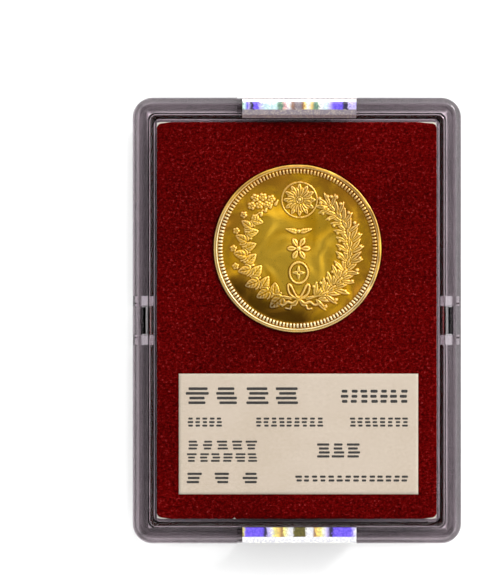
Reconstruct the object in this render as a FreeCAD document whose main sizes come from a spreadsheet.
import FreeCAD, Part
import math
import os
import re
import Sketcher

# A sealed display slab for one gold coin, lying on its back with its window facing up.
# Two clear polycarbonate covers close face to face half way up the case. Between their windows
# lies a card insert, faced with red velvet on both sides, with a round seat that holds the coin.
# A paper label is stuck to the front velvet, and two foil seals wrap over the top and bottom edges.
#
# Frame: X to the right, Y towards the case's top edge, Z out of the front window. The origin is
# the middle of the flat rim that the case lies on. All sizes are in millimetres.

DIMENSIONS = {
    # both covers
    "case_width": 56.0,
    "case_height": 76.0,
    "case_thick": 8.0,
    "corner_radius": 3.4,
    "rim_round": 1.2,  # rounding between the side walls and the rim
    "rim_inset": 2.85,  # from the side wall to the inner edge of the flat rim
    "rim_corner": 1.3,
    "bevel_inset": 3.55,  # from the side wall to the foot of the rim's inner bevel
    "rim_step": 1.2,  # how far the window lies below the rim
    "cavity_inset": 3.6,
    "cavity_corner": 0.9,
    "cavity_depth": 2.4,
    "skirt_thick": 1.0,
    "skirt_gap": 0.04,  # between the two skirts, so that the covers meet at their inner walls
    "channel_inset": 2.6,  # from the side wall to the inner side of the hollow in the rim
    "channel_corner": 1.2,
    "cap_thick": 1.1,  # the roof of that hollow
    # the rear cover's locating tongue, which reaches into the front cover's hollow rim
    "tongue_inset": 1.1,
    "tongue_thick": 0.8,
    "tongue_reach": 1.6,  # past the face where the covers meet
    # latches at the middle of each long side
    "latch_length": 4.6,
    "latch_inset": 1.7,
    "latch_thick": 0.55,
    "latch_drop": 0.25,  # from the front rim down to the top of the latch
    "barb_reach": 0.3,
    "barb_height": 0.3,
    "barb_land": 0.1,
    "slot_length": 4.9,
    "slot_inset": 1.65,
    "slot_pocket_inset": 1.25,
    "slot_pocket_depth": 0.6,
    "slot_inner_inset": 2.95,
    "guide_length": 1.7,
    "latch_zone": 9.2,  # the tongue stops short of this length of each side
    "notch_spread": 5.8,  # between the two relief notches in the skirt beside each latch
    "notch_length": 0.3,
    "notch_outer_inset": 0.4,
    "notch_inner_inset": 0.95,
    "notch_depth": 0.8,  # below the front rim
    # foil seals over the top and bottom edges
    "seal_width": 19.4,
    "seal_thick": 0.08,
    "seal_shift": 0.4,
    "seal_recess": 0.12,
    "recess_width": 20.4,
    "seal_inset": 2.8,
    "flap_inset": 3.45,
    # card insert and its velvet facings
    "insert_width": 47.8,
    "insert_height": 67.8,
    "insert_corner": 0.7,
    "insert_lift": 0.05,  # above the rear window
    "board_thick": 1.55,
    "velvet_thick": 0.3,
    "velvet_corner": 1.7,
    "velvet_margin": 0.08,
    "seat_clearance": 0.12,
    # coin and label
    "coin_diameter": 28.78,
    "coin_thick": 2.0,
    "coin_rim": 1.05,
    "coin_field": 1.4,  # thickness between the two fields
    "coin_bevel": 0.12,
    "coin_right": 0.13,
    "coin_up": 12.3,
    "label_width": 40.9,
    "label_height": 20.6,
    "label_thick": 0.1,
    "label_right": 0.29,
    "label_up": -19.4,
}

ORIGIN, START, END, CENTRE = (-1, 1), 1, 2, 3
UP = FreeCAD.Vector(0, 0, 1)

doc = FreeCAD.newDocument("coin_slab")
sheet = doc.addObject("Spreadsheet::Sheet", "Sizes")
for row, (alias, value) in enumerate(DIMENSIONS.items(), start=1):
    sheet.set(f"A{row}", alias.replace("_", " "))
    sheet.set(f"B{row}", str(value))
    sheet.setAlias(f"B{row}", alias)
doc.recompute()


def bound(expression):
    """The same expression with each driving dimension read from the sheet."""
    return re.sub(r"[a-z]+(_[a-z]+)+", r"Sizes.\g<0>", expression)


def value_of(expression):
    """What an expression in driving dimensions comes to, in millimetres."""
    found = sheet.evalExpression(bound(expression))
    return float(getattr(found, "Value", found))


def bind(thing, prop, expression):
    thing.setExpression(prop, bound(expression))


# ---------------------------------------------------------------- sketches and features


def new_body(label):
    body = doc.addObject("PartDesign::Body", label)
    body.Label = label
    return body


def new_sketch(body, name, plane="XY_Plane", offset=None):
    sketch = body.newObject("Sketcher::SketchObject", f"{body.Label}_{name}")
    support = [f for f in body.Origin.OriginFeatures if f.Role == plane][0]
    sketch.AttachmentSupport = (support, [""])
    sketch.MapMode = "FlatFace"
    if offset is not None:
        bind(sketch, "AttachmentOffset.Base.z", offset)
    return sketch


def fix(sketch, kind, point, expression):
    """Holds one coordinate of a sketch point at an expression, measured from the origin."""
    number = value_of(expression)
    index = sketch.addConstraint(Sketcher.Constraint(kind, *ORIGIN, *point, number))
    sketch.renameConstraint(index, f"size_{index}")
    bind(sketch, f"Constraints.size_{index}", expression)


def closed_path(sketch, *steps):
    """A closed outline. Each step is the end of a line, (x, y), or of an arc, (x, y, centre x,
    centre y). The outline starts where its last step ends."""
    points = [FreeCAD.Vector(value_of(s[0]), value_of(s[1]), 0) for s in steps]
    made = []
    ends = []
    for i, (end, step) in enumerate(zip(points, steps)):
        start = points[i - 1]
        if len(step) == 2:
            made.append(sketch.addGeometry(Part.LineSegment(start, end)))
            ends.append((START, END))
            continue
        centre = FreeCAD.Vector(value_of(step[2]), value_of(step[3]), 0)
        forward = (start - centre).cross(end - centre).z > 0
        low, high = (start, end) if forward else (end, start)
        angles = [math.atan2((p - centre).y, (p - centre).x) for p in (low, high)]
        whole = Part.Circle(centre, UP, (start - centre).Length)
        made.append(sketch.addGeometry(Part.ArcOfCircle(whole, *angles)))
        ends.append((START, END) if forward else (END, START))
    for i in range(len(made)):
        last, this = (made[i - 1], ends[i - 1][1]), (made[i], ends[i][0])
        sketch.addConstraint(Sketcher.Constraint("Coincident", *last, *this))
    for i, step in enumerate(steps):
        vertex = (made[i], ends[i][1])
        if len(step) == 2:
            fix(sketch, "DistanceX", vertex, step[0])
            fix(sketch, "DistanceY", vertex, step[1])
            continue
        centre = sketch.Geometry[made[i]].Center
        fix(sketch, "DistanceX", (made[i], CENTRE), step[2])
        fix(sketch, "DistanceY", (made[i], CENTRE), step[3])
        if abs(points[i].x - centre.x) < abs(points[i].y - centre.y):
            fix(sketch, "DistanceX", vertex, step[0])
        else:
            fix(sketch, "DistanceY", vertex, step[1])


def rounded_rectangle(sketch, width, height, radius):
    """A rectangle about the origin with round corners, from three expressions."""
    x, y, r = (f"({e})" for e in (f"({width})/2", f"({height})/2", radius))
    closed_path(
        sketch,
        (f"{x}-{r}", f"-{y}"),
        (x, f"-{y}+{r}", f"{x}-{r}", f"-{y}+{r}"),
        (x, f"{y}-{r}"),
        (f"{x}-{r}", y, f"{x}-{r}", f"{y}-{r}"),
        (f"-{x}+{r}", y),
        (f"-{x}", f"{y}-{r}", f"-{x}+{r}", f"{y}-{r}"),
        (f"-{x}", f"-{y}+{r}"),
        (f"-{x}+{r}", f"-{y}", f"-{x}+{r}", f"-{y}+{r}"),
    )


def inset_outline(sketch, inset, radius):
    """The case's outline moved inwards by inset."""
    rounded_rectangle(sketch, f"case_width-2*({inset})", f"case_height-2*({inset})", radius)


def rectangle(sketch, left, right, bottom, top):
    closed_path(sketch, (left, bottom), (right, bottom), (right, top), (left, top))


def circle(sketch, radius, x, y):
    centre = FreeCAD.Vector(value_of(x), value_of(y), 0)
    made = sketch.addGeometry(Part.Circle(centre, UP, value_of(radius)))
    fix(sketch, "DistanceX", (made, CENTRE), x)
    fix(sketch, "DistanceY", (made, CENTRE), y)
    index = sketch.addConstraint(Sketcher.Constraint("Radius", made, value_of(radius)))
    sketch.renameConstraint(index, "hole_radius")
    bind(sketch, "Constraints.hole_radius", radius)


def feature(body, kind, sketch, length, reverse=False, both_ways=False):
    """A Pad or Pocket of a sketch. It stops the script if it changes no volume."""
    before = body.Shape.Volume if body.Tip else 0.0
    made = body.newObject(f"PartDesign::{kind}", f"{sketch.Name}_{kind.lower()}")
    made.Profile = sketch
    made.Reversed = reverse
    made.SideType = "Symmetric" if both_ways else "One side"
    bind(made, "Length", length)
    doc.recompute()
    if abs(body.Shape.Volume - before) < 1e-4:
        raise RuntimeError(f"{made.Name} changed nothing")
    return made


def pad(body, sketch, length, **options):
    return feature(body, "Pad", sketch, length, **options)


def pocket(body, sketch, length, **options):
    return feature(body, "Pocket", sketch, length, **options)


def place(body, half_turn_about=None, **position):
    """Puts a body in its place in the case: half a turn round an axis if one is given, then moved
    by an expression for each of x, y and z that it moves along."""
    if half_turn_about is not None:
        turn = FreeCAD.Rotation(FreeCAD.Vector(*half_turn_about), 180)
        body.Placement = FreeCAD.Placement(FreeCAD.Vector(), turn)
    for axis, expression in position.items():
        bind(body, f"Placement.Base.{axis}", expression)


# ---------------------------------------------------------------- the two covers


def cover_half(label):
    """The shape that both covers share, standing on the face where they meet."""
    body = new_body(label)
    outline = new_sketch(body, "outline")
    inset_outline(outline, "0", "corner_radius")
    pad(body, outline, "case_thick/2")
    round_rim(body)
    sink_window(body)
    cavity = new_sketch(body, "cavity")
    inset_outline(cavity, "cavity_inset", "cavity_corner")
    pocket(body, cavity, "cavity_depth/2", reverse=True)
    channel = new_sketch(body, "channel")
    inset_outline(channel, "skirt_thick", "corner_radius-skirt_thick")
    inset_outline(channel, "channel_inset", "channel_corner")
    pocket(body, channel, "case_thick/2-cap_thick", reverse=True)
    for end in (1, -1):
        recess_for_seal(body, end)
    return body


def round_rim(body):
    base = body.Tip
    top = value_of("case_thick/2")
    edges = [
        f"Edge{i}"
        for i, e in enumerate(base.Shape.Edges, start=1)
        if abs(e.BoundBox.ZMin - top) < 1e-6
    ]
    rounding = body.newObject("PartDesign::Fillet", f"{body.Label}_rim_round")
    rounding.Base = (base, edges)
    bind(rounding, "Radius", "rim_round")
    doc.recompute()


def sink_window(body):
    """The window lies below the rim, inside a bevel that runs all the way round."""
    recess = new_sketch(body, "window_recess", offset="case_thick/2")
    inset_outline(recess, "rim_inset", "rim_corner")
    cut = pocket(body, recess, "rim_step")
    bind(cut, "TaperAngle", "-atan((bevel_inset-rim_inset)/rim_step)")
    doc.recompute()


def recess_for_seal(body, end):
    """A shallow step in the end wall and rim, which the seal lies in. end is 1 or -1 along Y."""
    name = "top_recess" if end > 0 else "bottom_recess"
    sketch = new_sketch(body, name, "YZ_Plane")
    wall = f"{end}*(case_height/2-seal_recess)"
    clear = f"{end}*(case_height/2+seal_recess)"
    bend = f"{end}*(case_height/2-rim_round)"
    inner = f"{end}*(case_height/2-rim_inset-rim_step)"
    floor = "case_thick/2-seal_recess"
    over = "case_thick/2+seal_recess"
    below = "-seal_recess"
    closed_path(
        sketch,
        (wall, below),
        (wall, "case_thick/2-rim_round"),
        (bend, floor, bend, "case_thick/2-rim_round"),
        (inner, floor),
        (inner, over),
        (clear, over),
        (clear, below),
    )
    pocket(body, sketch, "recess_width", both_ways=True)


def front_cover():
    """The upper cover. Its rim has a slot at the middle of each long side for a latch."""
    body = cover_half("front_cover")
    relief = new_sketch(body, "skirt_relief")
    inset_outline(relief, "0", "corner_radius")
    inset_outline(relief, "skirt_thick", "corner_radius-skirt_thick")
    pocket(body, relief, "skirt_gap", reverse=True)
    guides = new_sketch(body, "latch_guides", offset="case_thick/2-cap_thick")
    for side in (1, -1):
        for end in (1, -1):
            rectangle(
                guides,
                f"{side}*(case_width/2-skirt_thick/2)",
                f"{side}*(case_width/2-channel_inset-skirt_thick/2)",
                f"{end}*slot_length/2",
                f"{end}*(slot_length/2+guide_length)",
            )
    pad(body, guides, "case_thick/2-cap_thick-seal_recess", reverse=True)
    for name, outer, depth in (
        ("latch_slot", "slot_inset", "cap_thick"),
        ("barb_pocket", "slot_pocket_inset", "slot_pocket_depth"),
    ):
        slots = new_sketch(body, name, offset="case_thick/2")
        for side in (1, -1):
            rectangle(
                slots,
                f"{side}*(case_width/2-{outer})",
                f"{side}*(case_width/2-slot_inner_inset)",
                "-slot_length/2",
                "slot_length/2",
            )
        pocket(body, slots, depth)
    notches = new_sketch(body, "relief_notches", offset="case_thick/2")
    for side in (1, -1):
        for end in (1, -1):
            rectangle(
                notches,
                f"{side}*(case_width/2-notch_outer_inset)",
                f"{side}*(case_width/2-notch_inner_inset)",
                f"{end}*(notch_spread-notch_length)/2",
                f"{end}*(notch_spread+notch_length)/2",
            )
    pocket(body, notches, "notch_depth")
    place(body, z="case_thick/2")
    return body


def rear_cover():
    """The lower cover. Its tongue fits inside the front cover's skirt and keeps dust out."""
    body = cover_half("rear_cover")
    tongue = new_sketch(body, "tongue", offset="case_thick/2-cap_thick")
    inset_outline(tongue, "tongue_inset", "corner_radius-tongue_inset")
    inset_outline(tongue, "tongue_inset+tongue_thick", "corner_radius-tongue_inset-tongue_thick")
    pad(body, tongue, "case_thick/2-cap_thick+tongue_reach", reverse=True)
    gaps = new_sketch(body, "latch_gaps", offset="case_thick/2-cap_thick")
    middle = "(skirt_thick+tongue_inset)/2"
    for side in (1, -1):
        rectangle(
            gaps,
            f"{side}*(case_width/2-{middle})",
            f"{side}*(case_width/2-channel_inset+tongue_inset-skirt_thick)",
            "-latch_zone/2",
            "latch_zone/2",
        )
    pocket(body, gaps, "case_thick/2-cap_thick+tongue_reach")
    place(body, half_turn_about=(0, 1, 0), z="case_thick/2")
    return body


def latch(label, on_left):
    """A springy arm that stands in the rear cover and hooks over a ledge in the front rim."""
    body = new_body(label)
    profile = new_sketch(body, "profile", "XZ_Plane")
    outer = "case_width/2-latch_inset"
    top = "case_thick-latch_drop"
    closed_path(
        profile,
        (f"{outer}-latch_thick", "cap_thick"),
        (outer, "cap_thick"),
        (outer, f"{top}-barb_height"),
        (f"{outer}+barb_reach", f"{top}-barb_height"),
        (f"{outer}+barb_reach", f"{top}-barb_height+barb_land"),
        (f"{outer}+barb_land", top),
        (f"{outer}-latch_thick", top),
    )
    pad(body, profile, "latch_length", both_ways=True)
    if on_left:
        place(body, half_turn_about=(0, 0, 1))
    return body


# ---------------------------------------------------------------- foil seals


def seal_leaf(label, at_top, in_front):
    """Half of a foil seal, from its tear line to its edge on the rim. The top front one has a flap
    that goes on down the bevel. Each is drawn at the top front and turned to its place."""
    body = new_body(label)
    shift = "seal_shift" if at_top == in_front else "-seal_shift"
    profile = new_sketch(body, "profile", "YZ_Plane", offset=shift)
    edge = "case_height/2"
    wall = f"{edge}-seal_recess"
    floor = "case_thick-seal_recess"
    bend = (f"{edge}-rim_round", "case_thick-rim_round")
    slope = "((bevel_inset-rim_inset)/rim_step)"
    fold = f"{edge}-rim_inset-seal_recess*{slope}"
    mitre = f"seal_thick*tan(atan(1/{slope})/2)"
    if at_top and in_front:
        foot = f"case_thick-(flap_inset-rim_inset)/{slope}"
        crease = (
            (fold, floor),
            (f"{edge}-flap_inset", foot),
            (f"{edge}-flap_inset-{mitre}", f"{foot}+seal_thick"),
            (f"{fold}-{mitre}", f"{floor}+seal_thick"),
        )
    else:
        crease = (
            (f"{edge}-seal_inset", floor),
            (f"{edge}-seal_inset", f"{floor}+seal_thick"),
        )
    closed_path(
        profile,
        (wall, "case_thick/2"),
        (wall, bend[1]),
        (bend[0], floor, *bend),
        *crease,
        (bend[0], f"{floor}+seal_thick"),
        (f"{wall}+seal_thick", bend[1], *bend),
        (f"{wall}+seal_thick", "case_thick/2"),
    )
    pad(body, profile, "seal_width", both_ways=True)
    if not in_front:
        place(body, half_turn_about=(0, 1, 0) if at_top else (1, 0, 0), z="case_thick")
    elif not at_top:
        place(body, half_turn_about=(0, 0, 1))
    return body


# ---------------------------------------------------------------- the insert and what it holds


def insert_sheet(label, bottom, thick, margin, corner):
    """One layer of the insert: a rectangle with round corners and the coin's seat cut through."""
    body = new_body(label)
    outline = new_sketch(body, "outline", offset=bottom)
    rounded_rectangle(outline, f"insert_width-2*{margin}", f"insert_height-2*{margin}", corner)
    circle(outline, "coin_diameter/2+seat_clearance", "coin_right", "coin_up")
    pad(body, outline, thick)
    return body


def coin():
    """A struck coin: a raised rim round two flat fields."""
    body = new_body("coin")
    profile = new_sketch(body, "half_section", "XZ_Plane")
    edge, rim, bevel = "coin_diameter/2", "coin_thick/2", "coin_bevel"
    field = "coin_field/2"
    inner = f"{edge}-coin_rim"
    closed_path(
        profile,
        ("0", f"-{field}"),
        (inner, f"-{field}"),
        (f"{inner}+{bevel}", f"-{rim}"),
        (f"{edge}-{bevel}", f"-{rim}"),
        (edge, f"-{rim}+{bevel}"),
        (edge, f"{rim}-{bevel}"),
        (f"{edge}-{bevel}", rim),
        (f"{inner}+{bevel}", rim),
        (inner, field),
        ("0", field),
    )
    turn = body.newObject("PartDesign::Revolution", "coin_turned")
    turn.Profile = profile
    turn.ReferenceAxis = (profile, ["V_Axis"])
    turn.Angle = 360
    place(body, x="coin_right", y="coin_up", z="case_thick/2")
    return body


def label_card(bottom):
    body = new_body("label_card")
    outline = new_sketch(body, "outline", offset=bottom)
    rectangle(
        outline,
        "label_right-label_width/2",
        "label_right+label_width/2",
        "label_up-label_height/2",
        "label_up+label_height/2",
    )
    pad(body, outline, "label_thick")
    return body


REAR_VELVET = "(case_thick-cavity_depth)/2+insert_lift"
BOARD = f"{REAR_VELVET}+velvet_thick"
FRONT_VELVET = f"{BOARD}+board_thick"
LABEL = f"{FRONT_VELVET}+velvet_thick"

nodes = [
    rear_cover(),
    latch("latch_left", on_left=True),
    latch("latch_right", on_left=False),
    seal_leaf("top_seal_rear_leaf", at_top=True, in_front=False),
    seal_leaf("bottom_seal_rear_leaf", at_top=False, in_front=False),
    insert_sheet("rear_velvet", REAR_VELVET, "velvet_thick", "velvet_margin", "velvet_corner"),
    insert_sheet("insert_board", BOARD, "board_thick", "0", "insert_corner"),
    insert_sheet("front_velvet", FRONT_VELVET, "velvet_thick", "velvet_margin", "velvet_corner"),
    label_card(LABEL),
    coin(),
    front_cover(),
    seal_leaf("top_seal_front_leaf", at_top=True, in_front=True),
    seal_leaf("bottom_seal_front_leaf", at_top=False, in_front=True),
]
doc.recompute()

# ---------------------------------------------------------------- checks and export

for thing in doc.Objects:
    if {"Invalid", "Error"} & set(thing.State):
        raise RuntimeError(f"{thing.Label} failed: {thing.State}")
for node in nodes:
    if node.Shape.isNull() or not node.Shape.isValid() or not node.Shape.Solids:
        raise RuntimeError(f"{node.Label} has no sound solid")

os.makedirs("parts", exist_ok=True)
for node in nodes:
    node.Shape.exportStep(os.path.join("parts", f"{node.Label}.step"))
    box = node.Shape.BoundBox
    print(
        f"{node.Label}: {len(node.Shape.Solids)} solid, {node.Shape.Volume:.1f} mm3,"
        f" x {box.XMin:.2f}..{box.XMax:.2f} y {box.YMin:.2f}..{box.YMax:.2f}"
        f" z {box.ZMin:.2f}..{box.ZMax:.2f}"
    )
